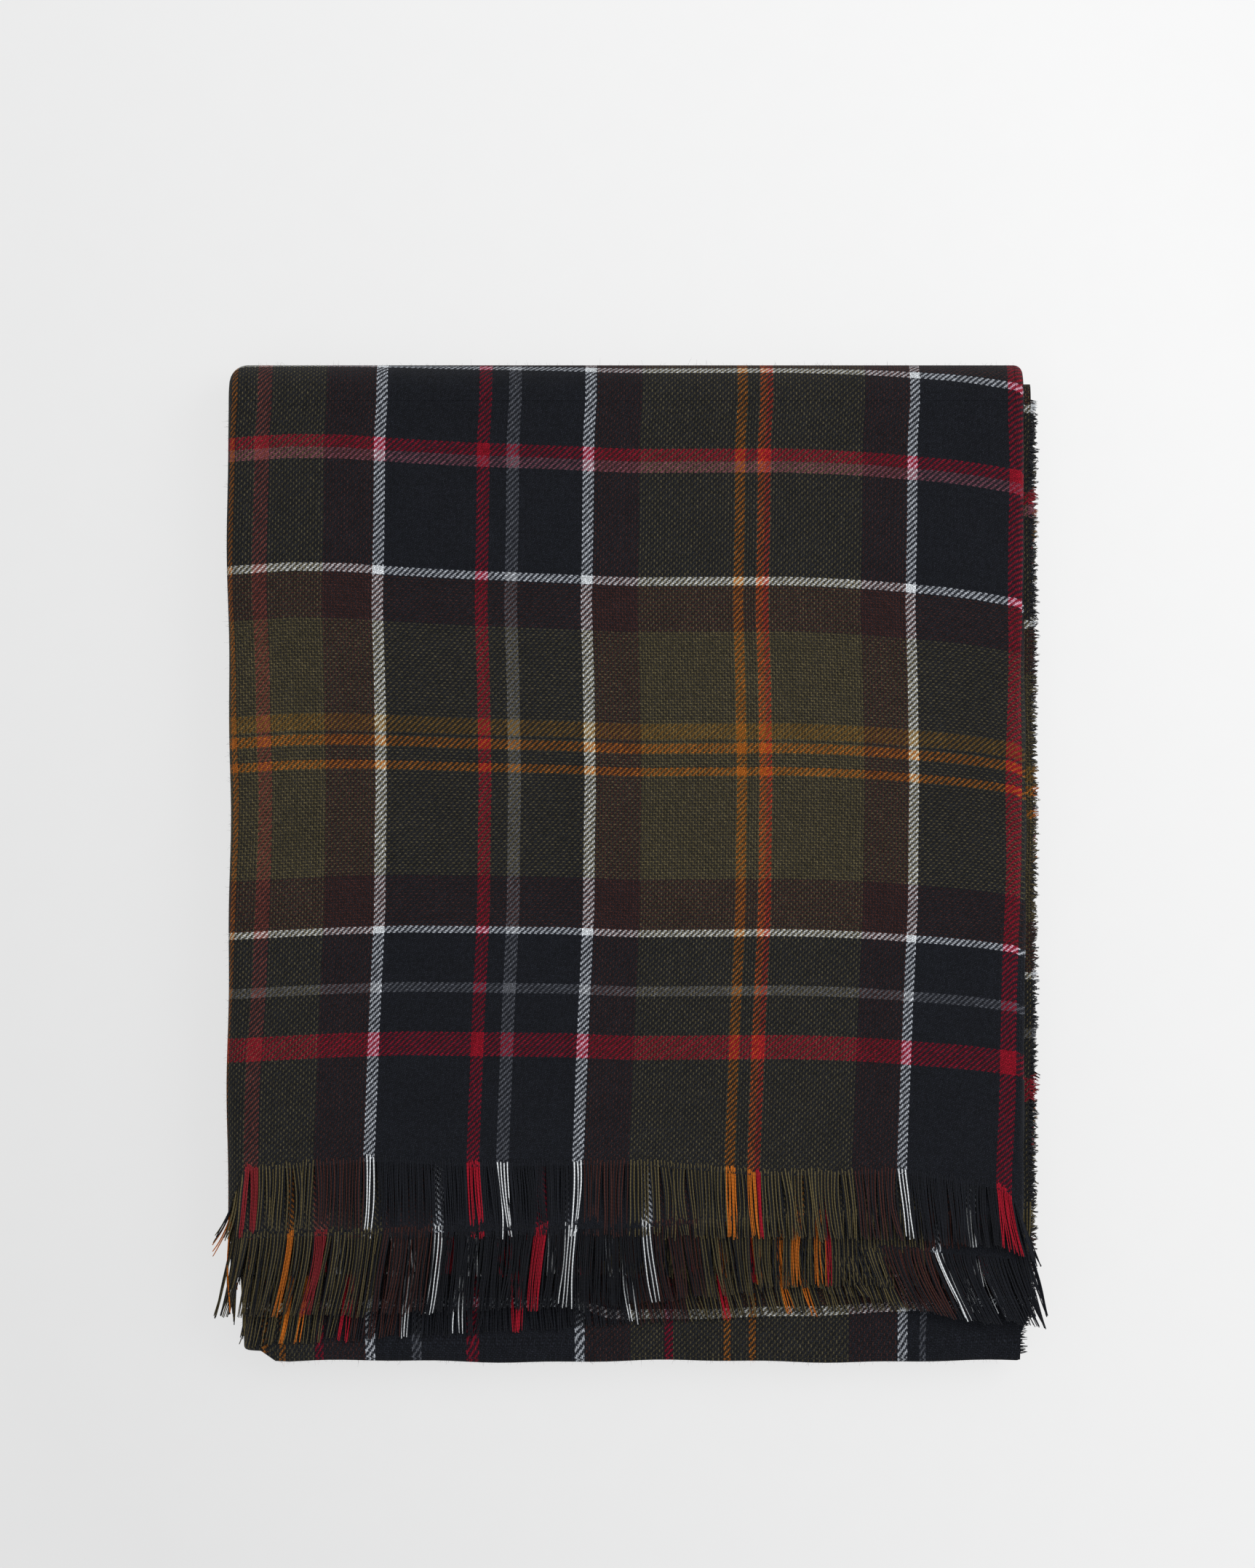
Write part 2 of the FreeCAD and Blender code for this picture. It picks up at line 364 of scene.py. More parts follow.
def make_twill():
    tree, inside, out = group(
        "brushed_twill",
        [("Across", "number"), ("Along", "number"), ("Blend", "number"), ("Gap shade", "number")],
        [("Colour", "colour"), ("Height", "number")],
    )
    fray = calc(tree, "SUBTRACT", grain(tree, FRAY_SCALE, inside["Across"], inside["Along"], 3.0), 0.5)
    across = calc(tree, "ADD", inside["Across"], calc(tree, "MULTIPLY", fray, FRAY))
    along = calc(tree, "ADD", inside["Along"], calc(tree, "MULTIPLY", fray, -FRAY))
    end = calc(tree, "DIVIDE", across, WEAVE)
    pick = calc(tree, "DIVIDE", along, WEAVE)
    end_number, pick_number = calc(tree, "FLOOR", end), calc(tree, "FLOOR", pick)
    over_end, over_pick = calc(tree, "FRACT", end), calc(tree, "FRACT", pick)
    step = calc(tree, "FLOORED_MODULO", calc(tree, "SUBTRACT", end_number, pick_number), REPEAT)
    warp_on_top = calc(tree, "LESS_THAN", step, FLOAT - 0.5)

    def floating(rounded, travelled):
        """The height of a float: round across the thread, humped along it."""
        hump = calc(tree, "SINE", calc(tree, "MULTIPLY", travelled, math.pi))
        hump = calc(tree, "MULTIPLY_ADD", hump, 0.75, 0.25)
        round_top = calc(tree, "POWER", calc(tree, "SINE", calc(tree, "MULTIPLY", rounded, math.pi)), 1.4)
        return calc(tree, "MULTIPLY", round_top, hump)

    up = calc(tree, "MULTIPLY", calc(tree, "ADD", calc(tree, "SUBTRACT", 1.0, step), over_pick), 0.5)
    on = calc(tree, "MULTIPLY", calc(tree, "ADD", calc(tree, "SUBTRACT", step, FLOAT), over_end), 0.5)
    height = mix_value(tree, warp_on_top, floating(over_pick, on), floating(over_end, up))
    melange = grain(tree, MELANGE_SCALE, calc(tree, "MULTIPLY", inside["Across"], 1.4), inside["Along"], 2.0)
    melange = calc(tree, "MULTIPLY_ADD", calc(tree, "SUBTRACT", melange, 0.5), MELANGE_CONTRAST, 0.5)
    melange = calc(tree, "MINIMUM", calc(tree, "MAXIMUM", melange, 0.05), 0.95)

    def yarn_colour(order, thread, number):
        """A solid stripe has its own colour; in a marled one every second thread is mostly navy."""
        found = use(tree, order, Thread=thread)
        even = calc(tree, "LESS_THAN", calc(tree, "FLOORED_MODULO", number, 2.0), 0.5)
        marl = calc(tree, "MULTIPLY_ADD", even, MARL, calc(tree, "MULTIPLY", melange, 1 - MARL))
        share = mix_value(tree, found["Solid"], marl, 1.0)
        return mix_colour(tree, share, YARNS["navy"], found["Colour"])

    end_middle = calc(tree, "MULTIPLY", calc(tree, "ADD", end_number, 0.5), WEAVE / THREAD)
    pick_middle = calc(tree, "MULTIPLY", calc(tree, "ADD", pick_number, 0.5), WEAVE)
    warp = yarn_colour(warp_order, end_middle, end_number)
    weft = yarn_colour(weft_order, weft_thread(tree, pick_middle), pick_number)
    top = mix_colour(tree, warp_on_top, weft, warp)
    below = mix_colour(tree, warp_on_top, warp, weft)

    def softened(colour, power):
        node = add(tree, "Gamma")
        feed(tree, node.inputs[0], colour)
        feed(tree, node.inputs[1], power)
        return node.outputs[0]

    own = calc(tree, "SUBTRACT", 1.0, inside["Blend"])
    colour = mix_colour(tree, 1.0, softened(top, own), softened(below, inside["Blend"]), "MULTIPLY")
    fuzz = grain(tree, FUZZ_SCALE, inside["Across"], inside["Along"], 3.0)
    thread_tone = add(tree, "TexWhiteNoise", noise_dimensions="1D")
    number = mix_value(tree, warp_on_top, calc(tree, "ADD", pick_number, WEFT_TONES), end_number)
    feed(tree, thread_tone.inputs["W"], number)
    float_tone = add(tree, "TexWhiteNoise", noise_dimensions="2D")
    which = add(tree, "CombineXYZ")
    weft_float = calc(tree, "FLOOR", calc(tree, "DIVIDE", calc(tree, "SUBTRACT", end_number, step), FLOAT))
    warp_float = calc(tree, "FLOOR", calc(tree, "DIVIDE", calc(tree, "ADD", pick_number, step), FLOAT))
    feed(tree, which.inputs[0], mix_value(tree, warp_on_top, weft_float, end_number))
    feed(tree, which.inputs[1], mix_value(tree, warp_on_top, pick_number, warp_float))
    tree.links.new(which.outputs[0], float_tone.inputs["Vector"])
    # Painted shade from the height: darker in the gaps between threads, with a painted highlight on their
    # tops.
    shade = mix_value(tree, height, inside["Gap shade"], PAINTED_TOP_HIGHLIGHT)
    shade = calc(tree, "MULTIPLY", shade, calc(tree, "MULTIPLY_ADD", float_tone.outputs[0], 0.5, 0.72))
    shade = calc(tree, "MULTIPLY", shade, calc(tree, "MULTIPLY_ADD", fuzz, 0.9, 0.55))
    shade = calc(tree, "MULTIPLY", shade, calc(tree, "MULTIPLY_ADD", thread_tone.outputs[0], 0.16, 0.92))
    feed(tree, out.inputs["Colour"], shaded(tree, colour, shade))
    feed(tree, out.inputs["Height"], calc(tree, "MULTIPLY_ADD", fuzz, FUZZ_HEIGHT, height))
    return tree


brushed_twill = make_twill()
print("twill nodes", len(brushed_twill.nodes))

# %% [markdown]
# ## Materials
# The cloth is a matt fabric with a soft sheen from its raised nap. Colour and bump come from the twill group,
# which reads the thread coordinates stored in each mesh's UV map, in millimetres. The fringe is the same warp
# yarn without any weft, so it only asks for the warp order. The cut side edges show weft ends.

# %% Make the cloth and the yarns' materials
def material(name, roughness, sheen):
    """A new matt material: (material, tree, shader, the two thread coordinates)."""
    made = bpy.data.materials.new(name)
    made.use_nodes = True
    tree = made.node_tree
    shader = tree.nodes["Principled BSDF"]
    shader.inputs["Roughness"].default_value = roughness
    shader.inputs["Specular IOR Level"].default_value = 0.12
    shader.inputs["Sheen Weight"].default_value = sheen
    shader.inputs["Sheen Roughness"].default_value = 0.45
    threads = add(tree, "UVMap", uv_map="threads")
    split = add(tree, "SeparateXYZ")
    tree.links.new(threads.outputs[0], split.inputs[0])
    return made, tree, shader, split.outputs[0], split.outputs[1]


def bump(tree, shader, height, depth, strength):
    node = add(tree, "Bump")
    node.inputs["Strength"].default_value = strength
    node.inputs["Distance"].default_value = depth
    feed(tree, node.inputs["Height"], height)
    tree.links.new(node.outputs[0], shader.inputs["Normal"])


def make_cloth_material():
    made, tree, shader, across, along = material("checked_twill", 0.92, 0.03)
    woven = use(tree, brushed_twill, Across=across, Along=along, Blend=0.16, Gap_shade=0.36)
    patches = grain(tree, 0.05, across, along, 3.0)
    tone = calc(tree, "MULTIPLY_ADD", patches, 0.3, 0.85)
    feed(tree, shader.inputs["Base Color"], shaded(tree, woven["Colour"], tone))
    bump(tree, shader, woven["Height"], 0.0004, 0.7)
    return made


def make_yarn_material(name, order, counted_across):
    """Loose yarn: its colour from a thread order, its twist as a fine slanting ripple in the bump and as
    painted shade in the colour.
    """
    made, tree, shader, across, along = material(name, 0.85, 0.1)
    end = calc(tree, "DIVIDE", across, THREAD)
    thread = end if counted_across else weft_thread(tree, along)
    found = use(tree, order, Thread=thread)
    even = calc(tree, "LESS_THAN", calc(tree, "FLOORED_MODULO", calc(tree, "FLOOR", thread), 2.0), 0.5)
    share = calc(tree, "MAXIMUM", found["Solid"], even)
    colour = mix_colour(tree, share, YARNS["navy"], found["Colour"])
    twist = calc(tree, "MULTIPLY_ADD", across, 9.0, calc(tree, "MULTIPLY", along, 4.2))
    ripple = calc(tree, "MULTIPLY_ADD", calc(tree, "SINE", twist), 0.5, 0.5)
    tone_noise = add(tree, "TexWhiteNoise", noise_dimensions="1D")
    feed(tree, tone_noise.inputs["W"], calc(tree, "FLOOR", end if counted_across else thread))
    tone = calc(tree, "MULTIPLY_ADD", tone_noise.outputs[0], 0.35, 0.72)
    # Painted shade and highlight of the twist: the colour is darker in its grooves and lighter on its ridges.
    tone = calc(tree, "MULTIPLY", tone, calc(tree, "MULTIPLY_ADD", ripple, 0.3, 0.8))
    # Threads past the middle come from the throw's far end, whose strands hang in the rows under the front
    # one. They are darkened to four fifths: partly painted shade of those lower rows, partly their larger
    # share of dark strands.
    far_end = calc(tree, "GREATER_THAN", along, MIDDLE)
    tone = calc(tree, "MULTIPLY", tone, mix_value(tree, far_end, 1.0, 0.8))
    feed(tree, shader.inputs["Base Color"], shaded(tree, colour, tone))
    bump(tree, shader, ripple, 0.0002, 0.5)
    return made


cloth_material = make_cloth_material()
fringe_material = make_yarn_material("fringe_yarn", loose_order, True)
weft_end_material = make_yarn_material("weft_ends", weft_order, False)
print("materials", cloth_material.name, fringe_material.name, weft_end_material.name)

# %% [markdown]
# ## The cloth's path across the packet
# Two sheets wind through each half of the pile, one inside the other. The outer one makes plies 1, 8, 5 and
# 4, and the inner one plies 2, 7, 6 and 3. Each is a flat spiral: straight runs joined by half circles at the
# left and right folds. A point is found from its distance along the spiral, which is also its place in the
# warp. The height is a distance from the hinge line, so the flap and the base share the same drawing.

# %% Describe the spiral
OUTER, INNER = (1, 8, 5, 4), (2, 7, 6, 3)


def level(ply):
    return (ply - 0.5) * PITCH


def spiral_lengths(plies):
    """Lengths of run, left fold, run, right fold, run, left fold, run."""
    first, second, third, fourth = (level(ply) for ply in plies)
    long_run, short_run = CUT_X - LEFT_X, RIGHT_X - LEFT_X
    turns = [math.pi * abs(b - a) / 2 for a, b in ((first, second), (second, third), (third, fourth))]
    return np.array([long_run, turns[0], short_run, turns[1], short_run, turns[2], long_run])


SPANS = spiral_lengths(OUTER)
STARTS = np.concatenate([[0.0], np.cumsum(SPANS)])
FULL_WIDTH = STARTS[-1]


def spiral(u, plies):
    """X and level of the cloth at distances u along the outer sheet's spiral, for either sheet."""
    u = np.asarray(u, float)
    span = np.clip(np.searchsorted(STARTS, u, side="right") - 1, 0, 6)
    share = (u - STARTS[span]) / SPANS[span]
    ends_x = ((CUT_X, LEFT_X), None, (LEFT_X, RIGHT_X), None, (RIGHT_X, LEFT_X), None, (LEFT_X, CUT_X))
    x, z = np.zeros_like(u), np.zeros_like(u)
    for number in range(7):
        here = span == number
        before, after = level(plies[number // 2]), level(plies[min(3, (number + 1) // 2)])
        if number % 2 == 0:
            start, end = ends_x[number]
            x[here] = start + (end - start) * share[here]
            z[here] = before
        else:
            radius = (after - before) / 2
            side, edge = (1, RIGHT_X) if number == 3 else (-1, LEFT_X)
            x[here] = edge + side * abs(radius) * np.sin(np.pi * share[here])
            z[here] = (before + after) / 2 - radius * np.cos(np.pi * share[here])
    return x, z


print("cut width", round(FULL_WIDTH, 1), "mm, ends", round(FULL_WIDTH / THREAD))

# %% [markdown]
# ## Where the hems and the pattern lie
# Folding by hand never lines things up. These short tables say how far each hem reaches down the packet, how
# the checks drift sideways from the true grain, and how the weft bows. They are read along the spiral or up
# the packet, and everything between two entries is interpolated.

# %% Tables of the folding's unevenness
def table(*pairs):
    places, values = zip(*pairs)
    return lambda at: np.interp(at, places, values)


FRONT_U = STARTS[2] - LEFT_X
outer_hem = table(
    (0, -172), (140, -177), (STARTS[1], -184), (STARTS[1] + 11, -160), (STARTS[2], -135),
    (FRONT_U - 113, -130.6), (FRONT_U - 70, -133), (FRONT_U, -132), (FRONT_U + 56, -137),
    (FRONT_U + 120, -136), (FRONT_U + 162.7, -143), (STARTS[3], -150), (STARTS[3] + 5, -163),
    (STARTS[4], -174), (STARTS[4] + 168, -160), (STARTS[5], -152), (FULL_WIDTH, -152),
)
inner_hem = table(
    (0, -152), (STARTS[1], -153), (STARTS[1] + 9, -158), (STARTS[2], -164.5), (FRONT_U - 90, -162),
    (FRONT_U, -160), (FRONT_U + 75, -155), (STARTS[3], -154), (STARTS[4], -152), (FULL_WIDTH, -152),
)
pattern_zero = table(
    (0, -172), (250, -184), (STARTS[1] - 8, -138), (STARTS[1], -135.2), (STARTS[2], -134.2),
    (FRONT_U - 150, -133.1),
    (FRONT_U - 127, -132), (FRONT_U - 98, -131.2), (FRONT_U - 31, -132), (FRONT_U, -133.3),
    (FRONT_U + 68, -132.8), (FRONT_U + 87, -133.3), (FRONT_U + 106, -134.2), (FRONT_U + 138, -136.6),
    (FRONT_U + 150, -137.7), (STARTS[3], -140), (STARTS[4], -146), (STARTS[4] + 100, -152),
    (FULL_WIDTH, -152),
)
bow_at_top = table(
    (STARTS[1] - 60, 0), (STARTS[1], -5.8), (STARTS[2], -6.2), (FRONT_U - 150, -6.4), (FRONT_U - 127, -5),
    (FRONT_U - 98, -2.2),
    (FRONT_U - 73, -1.1), (FRONT_U - 31, 0), (FRONT_U + 68, 0.3), (FRONT_U + 138, 1.1),
    (FRONT_U + 150, 1.6), (STARTS[3], 2.5), (STARTS[4], 2.5), (STARTS[5], 0),
)
drift_up = table(
    (-132, -5.4), (-68, -2.9), (-20, -0.6), (12, -0.3), (34, 0.1), (79, -0.6), (114, -1.7), (146, -1),
    (188, -0.6), (218, 1.4),
)
lowest_shift = table((0, 12), (112, 8.7), (242, 6.2), (STARTS[1], 0.3))
drift_right_edge = table((-132, -5.4), (-68, -3), (0, -0.5), (218, 0))


def smooth(share):
    share = np.clip(share, 0, 1)
    return share * share * (3 - 2 * share)


def threads_flap(u, y, inner):
    """Thread coordinates of a flap point: across the warp and along it, in millimetres."""
    edge = smooth((u - FRONT_U - 120) / 40)
    front = smooth((u - STARTS[1] + 40) / 40) * smooth((STARTS[4] + 60 - u) / 60)
    shift = (drift_up(y) * (1 - edge) + drift_right_edge(y) * edge) * front
    if inner:
        return u - 25.0, 2 * MIDDLE - (y - inner_hem(u))
    low = smooth((STARTS[1] + 20 - u) / 20) * smooth((HINGE_Y - y) / 380) * lowest_shift(u)
    return u - shift + low, y - pattern_zero(u) + 1.2 + bow_at_top(u) * smooth((y + 30) / 155)


print("front hem", outer_hem(FRONT_U), "second hem", inner_hem(FRONT_U))

# %% [markdown]
# ## How the pile sits
# Soft cloth doesn't stack like board. The pile's surface dips and swells by about a millimetre, more at the
# top than at the table, the cut edges wander, and the lowest corner on the left is rounded off. One function
# bends the ideal pile this way, so that neighbouring plies always move together and never cross.

# %% Settle the pile
WAVES = (
    (0.021, 0.013, 0.4, 0.42), (-0.034, 0.027, 2.1, 0.3), (0.062, 0.041, 1.2, 0.16), (0.03, -0.09, 4.0, 0.13),
    (0.12, 0.05, 0.9, 0.07), (-0.09, 0.14, 5.2, 0.06), (0.2, -0.11, 2.7, 0.035),
)


def swell(x, y):
    """Rise and fall of the pile's top, in millimetres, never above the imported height."""
    total = sum(size * np.sin(a * x + b * y + phase) for a, b, phase, size in WAVES)
    return total * 0.9 - 0.75


def settle(x, y, height, phase=0.0):
    """Bends points of the ideal pile: height is from the hinge's own level."""
    calm = smooth((HINGE_Y - y) / 30)
    share = (height + HINGE_Z) / (2 * HINGE_Z)
    z = HINGE_Z + height + swell(x, y) * share * calm
    base = height < 0
    near_bottom = smooth((-165 - y) / 14) * base
    x = x + 5.0 * near_bottom * smooth((-120 - x) / 50)
    x = x - 5.0 * smooth((-195 - y) / 15) * base * smooth((x - 120) / 45)
    y = y + 5.0 * smooth((-156 - x) / 9) * smooth((-188 - y) / 30) * base
    y = y + (0.5 * np.sin(x * 0.045 + 0.6) + 0.25 * np.sin(x * 0.13)) * smooth((-150 - y) / 60) * base
    wander = 0.8 * np.sin(y * 0.021 + phase) + 0.5 * np.sin(y * 0.067 + 2.3 * phase)
    x = x + wander * calm * smooth((x - 150) / 25)
    left = 0.7 * np.sin(y * 0.024 + 1.0) + 0.3 * np.sin(y * 0.08)
    x = x + left * calm * smooth((-140 - x) / 30)
    return x, y, z


def edge_phase(z):
    """Each ply's cut edge wanders in its own way."""
    return z * 1.1


print("pile swell", round(float(swell(0.0, 0.0)), 2), "mm at the middle")

# %% [markdown]
# ## Turning grids into meshes
# Each sheet is a grid of points with its thread coordinates. A grid keeps the threads in order through every
# fold, and a Solidify modifier then gives the sheet the thickness of one ply.

# %% Mesh makers
AIR = 0.12


def mesh_piece(name, points, faces, uv, finish):
    """A named smooth mesh piece from points in millimetres, faces, and one thread coordinate per point."""
    mesh = bpy.data.meshes.new(name)
    mesh.from_pydata((np.concatenate(points) * MM).tolist(), [], faces)
    mesh.polygons.foreach_set("use_smooth", np.ones(len(mesh.polygons), bool))
    corners = np.zeros(len(mesh.loops), np.int32)
    mesh.loops.foreach_get("vertex_index", corners)
    layer = mesh.uv_layers.new(name="threads")
    layer.data.foreach_set("uv", np.concatenate(uv).astype(np.float32)[corners].ravel())
    mesh.materials.append(finish)
    piece = bpy.data.objects.new(name, mesh)
    bpy.context.scene.collection.objects.link(piece)
    return piece


def sharpen_rim(mesh):
    """Marks a sheet's outer edges sharp, so that its shading doesn't bend there."""
    uses = np.zeros(len(mesh.edges), int)
    edge_of = np.zeros(len(mesh.loops), np.int32)
    mesh.loops.foreach_get("edge_index", edge_of)
    np.add.at(uses, edge_of, 1)
    sharp = mesh.attributes.new("sharp_edge", "BOOLEAN", "EDGE")
    sharp.data.foreach_set("value", uses == 1)


def grid_faces(rows, columns, offset=0):
    corner = (np.arange(rows - 1)[:, None] * columns + np.arange(columns - 1)[None, :]).ravel() + offset
    return np.stack([corner, corner + 1, corner + columns + 1, corner + columns], axis=1)


def cloth_piece(name, parts):
    """One sheet from one or more grids: each part is (x, y, z, across, along), all of the same shape."""
    points, uv, faces, offset = [], [], [], 0
    for x, y, z, across, along in parts:
        points.append(np.stack([x, y, z], -1).reshape(-1, 3))
        uv.append(np.stack([across, along], -1).reshape(-1, 2))
        faces.append(grid_faces(*x.shape, offset))
        offset += x.size
    piece = mesh_piece(name, points, np.concatenate(faces).tolist(), uv, cloth_material)
    sharpen_rim(piece.data)
    thick = piece.modifiers.new("ply_thickness", "SOLIDIFY")
    thick.thickness = (CLOTH - AIR) * MM
    thick.offset = 0.0
    return piece


def stations(ranges):
    """Distances along the spiral, with the wanted number of steps in each span."""
    steps = [np.linspace(STARTS[s], STARTS[s + 1], n, endpoint=False) for s, n in enumerate(ranges)]
    return np.concatenate([*steps, [FULL_WIDTH]])


COLUMNS = stations((50, 16, 85, 10, 48, 8, 50))
print("columns across the spiral", len(COLUMNS))

# %% [markdown]
# ## The flap's two sheets
# The flap is the front half of the packet, from the fringed hems up to the last fold. Its two sheets wind
# side by side, so they never touch.

# %% Lay the flap
FLAP_ROWS = 80


def flap_surface(u, share, inner):
    """A point of the flap at distance u across and a share of the way from the hem to the last fold."""
    x, z = spiral(u, INNER if inner else OUTER)
    hem = inner_hem(u) if inner else outer_hem(u)
    y = hem + (HINGE_Y - hem) * share
    across, along = threads_flap(u, y, inner)
    x, y, z = settle(x, y, z, edge_phase(z))
    return x, y, z, across, along


def make_flap_sheet(name, inner, plies, folds):
    rows = np.linspace(0, 1, FLAP_ROWS) ** 0.92
    u, share = np.meshgrid(COLUMNS, rows)
    piece = cloth_piece(name, [flap_surface(u, share, inner)])
    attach(piece, "flap")
    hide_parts(*[f"flap_ply_{n}" for n in plies], *folds)
    return piece


flap_cloth_outer = make_flap_sheet(
    "flap_cloth_outer", False, OUTER, ("flap_left_fold_4", "flap_left_fold_1", "flap_right_fold_2")
)
flap_cloth_inner = make_flap_sheet(
    "flap_cloth_inner", True, INNER, ("flap_left_fold_3", "flap_left_fold_2", "flap_right_fold_1")
)
print("flap sheets", len(flap_cloth_outer.data.polygons), len(flap_cloth_inner.data.polygons), "faces")

# %% [markdown]
# ## The base
# Below the flap the two sheets are one: they join round the bottom folds, which lie at the middle of the
# throw's length. So the base is a single grid that goes down the outer sheet, round, and up the inner one.
# Its checks lie a little to one side of the flap's, climb towards the right and sit higher on the left.

# %% Lay the base
BASE_ROWS = 86
BEND_ROWS = 8
UNDER_SHIFT = 13.0
UNDER_TILT, TILT_FROM = 0.045, 22.0
UNDER_LIFT, LIFT_FROM, LIFT_OVER = 6.0, -4.0, 25


def base_side(u, down, inner):
    """A point of the base, a share of the way down from the last fold to the bottom fold."""
    x, z = spiral(u, INNER if inner else OUTER)
    y = HINGE_Y + (LAST_PICK_Y - HINGE_Y) * down
    across, top_along = threads_flap(u, np.full_like(y, HINGE_Y), inner)
    wrap = math.pi * z
    top_along = top_along - wrap if inner else top_along + wrap
    across = across + (u - UNDER_SHIFT - across) * smooth(down)
    slant = UNDER_TILT * np.maximum(x - TILT_FROM, 0) + UNDER_LIFT * smooth((LIFT_FROM - x) / LIFT_OVER)
    tilt = slant * smooth(down) * smooth((1 - down) * 30)
    along = top_along + (MIDDLE - top_along) * down + tilt
    x, y, z = settle(x, y, -z, edge_phase(-z))
    return x, y, z, across, along


def make_base():
    down = np.linspace(0, 1, BASE_ROWS)
    u, share = np.meshgrid(COLUMNS, down)
    outer = base_side(u, share, False)
    inner = base_side(u, share[::-1], True)
    u, angle = np.meshgrid(COLUMNS, np.linspace(0, np.pi, BEND_ROWS + 2)[1:-1])
    x_out, z_out = spiral(u, OUTER)
    x_in, z_in = spiral(u, INNER)
    turn = np.cos(angle)
    x = (x_out + x_in) / 2 + (x_out - x_in) / 2 * turn
    z = (z_out + z_in) / 2 + (z_out - z_in) / 2 * turn
    y = LAST_PICK_Y - PITCH / 2 * np.sin(angle)
    along = MIDDLE + PITCH / 2 * (angle - np.pi / 2)
    x, y, z = settle(x, y, -z, edge_phase(-z))
    bend = (x, y, z, u - UNDER_SHIFT, along)
    whole = tuple(np.concatenate(rows) for rows in zip(outer, bend, inner))
    piece = cloth_piece("base_cloth", [whole])
    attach(piece, "base")
    nodes = [f"base_ply_{n}" for n in range(1, 9)] + [f"base_left_fold_{n}" for n in range(1, 5)]
    nodes += ["base_right_fold_1", "base_right_fold_2"] + [f"bottom_fold_{n}" for n in range(1, 5)]
    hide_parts(*nodes)
    return piece


base_cloth = make_base()
print("base sheet", len(base_cloth.data.polygons), "faces")

# %% [markdown]
# ## The last fold
# The top fold joins flap and base, ply by ply, in eight nested half circles about the hinge line. They are
# separate sheets, one for each ply.

# %% Bend the top folds
FOLD_STEPS = 14


def span_columns(span):
    """The sheets' columns that lie in one span of the spiral, both ends included."""
    return COLUMNS[(COLUMNS >= STARTS[span] - 1e-6) & (COLUMNS <= STARTS[span + 1] + 1e-6)]


def top_fold_parts(u, inner):
    """Cloth carried round the hinge line from the base up to the flap."""
    angle = np.linspace(-np.pi / 2, np.pi / 2, FOLD_STEPS)
    u, angle = np.meshgrid(u, angle)
    x, radius = spiral(u, INNER if inner else OUTER)
    across, along = threads_flap(u, np.full_like(u, HINGE_Y), inner)
    run = radius * (np.pi / 2 - angle)
    along = along - run if inner else along + run
    return x, HINGE_Y + radius * np.cos(angle), HINGE_Z + radius * np.sin(angle), across, along


def blend_at_hinge(piece):
    """Bakes the piece's placement into its mesh."""
    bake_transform(piece)


for ply in range(1, PLIES + 1):
    chain = OUTER if ply in OUTER else INNER
    run = span_columns(2 * chain.index(ply))
    fold = cloth_piece(f"top_fold_cloth_{ply}", [top_fold_parts(run, chain is INNER)])
    blend_at_hinge(fold)
    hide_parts(f"top_fold_{ply}")

# %% [markdown]
# ## The corners of the last fold
# At each end of the top fold the side folds are carried round the hinge too. They are small, and bunch up
# when the flap opens; each corner is one piece.

# %% Fold the corners
def corner_parts(spans):
    parts = []
    for span in spans:
        parts += [top_fold_parts(span_columns(span), inner) for inner in (False, True)]
    return parts


left_corner = cloth_piece("top_left_corner_cloth", corner_parts((1, 5)))
right_corner = cloth_piece("top_right_corner_cloth", corner_parts((3,)))
for corner in (left_corner, right_corner):
    blend_at_hinge(corner)
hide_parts("top_left_corner_folds")
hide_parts("top_right_corner_folds")
print("corners", len(left_corner.data.polygons), len(right_corner.data.polygons), "faces")

# %% [markdown]
# ## Loose yarns as tubes
# Fringe strands, weft ends and nap hairs are all thin tubes that follow a path. One function makes any number
# of them at once: it sets up a frame from each path's direction and puts a small ring at every point.

# %% Tube maker
def tubes(paths, radii, sides, uv_paths):
    """Closed tubes along many paths: (points, faces, thread coordinates)."""
    count, steps, _ = paths.shape
    direction = np.gradient(paths, axis=1)
    direction /= np.linalg.norm(direction, axis=2, keepdims=True) + 1e-9
    side = np.cross(direction, np.array([0.13, 0.11, 1.0]))
    side /= np.linalg.norm(side, axis=2, keepdims=True) + 1e-9
    up = np.cross(side, direction)
    angle = np.arange(sides) * 2 * np.pi / sides + np.pi / sides
    ring = side[:, :, None] * np.cos(angle)[None, None, :, None]
    ring = ring + up[:, :, None] * np.sin(angle)[None, None, :, None]
    points = paths[:, :, None] + ring * radii[:, :, None, None]
    uv = np.broadcast_to(uv_paths[:, :, None], (count, steps, sides, 2))
    strand = np.arange(count)[:, None, None] * steps * sides
    step = np.arange(steps - 1)[None, :, None] * sides
    around = np.arange(sides)[None, None, :]
    after = (around + 1) % sides
    quads = np.stack(
        [strand + step + around, strand + step + after,
         strand + step + sides + after, strand + step + sides + around], axis=-1,
    ).reshape(-1, 4)
    first = np.arange(count)[:, None] * steps * sides
    caps = np.concatenate([first + np.arange(sides)[::-1], first + (steps - 1) * sides + np.arange(sides)])
    return points.reshape(-1, 3), [*quads.tolist(), *caps.tolist()], uv.reshape(-1, 2)


def yarn_piece(name, batches, finish, body):
    """One piece from several batches of tubes."""
    points, faces, uv, offset = [], [], [], 0
    for some_points, some_faces, some_uv in batches:
        points.append(some_points)
        uv.append(some_uv)
        faces += [[corner + offset for corner in face] for face in some_faces] if offset else some_faces
        offset += len(some_points)
    piece = mesh_piece(name, points, faces, uv, finish)
    if body:
        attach(piece, body)
    return piece


# %% [markdown]
# ## The fringe
# Past the last pick every warp end hangs free. Ends cling to each other in clumps of four to nine that draw
# together near their tips, most of all at the packet's sides. The front row hangs almost straight. The second
# row slides sideways and drops off the step of the plies below it, and the lowest row just shows under it.
# Tables give each visible row's tips and lean across the packet, and a seeded generator gives every clump its
# own character.

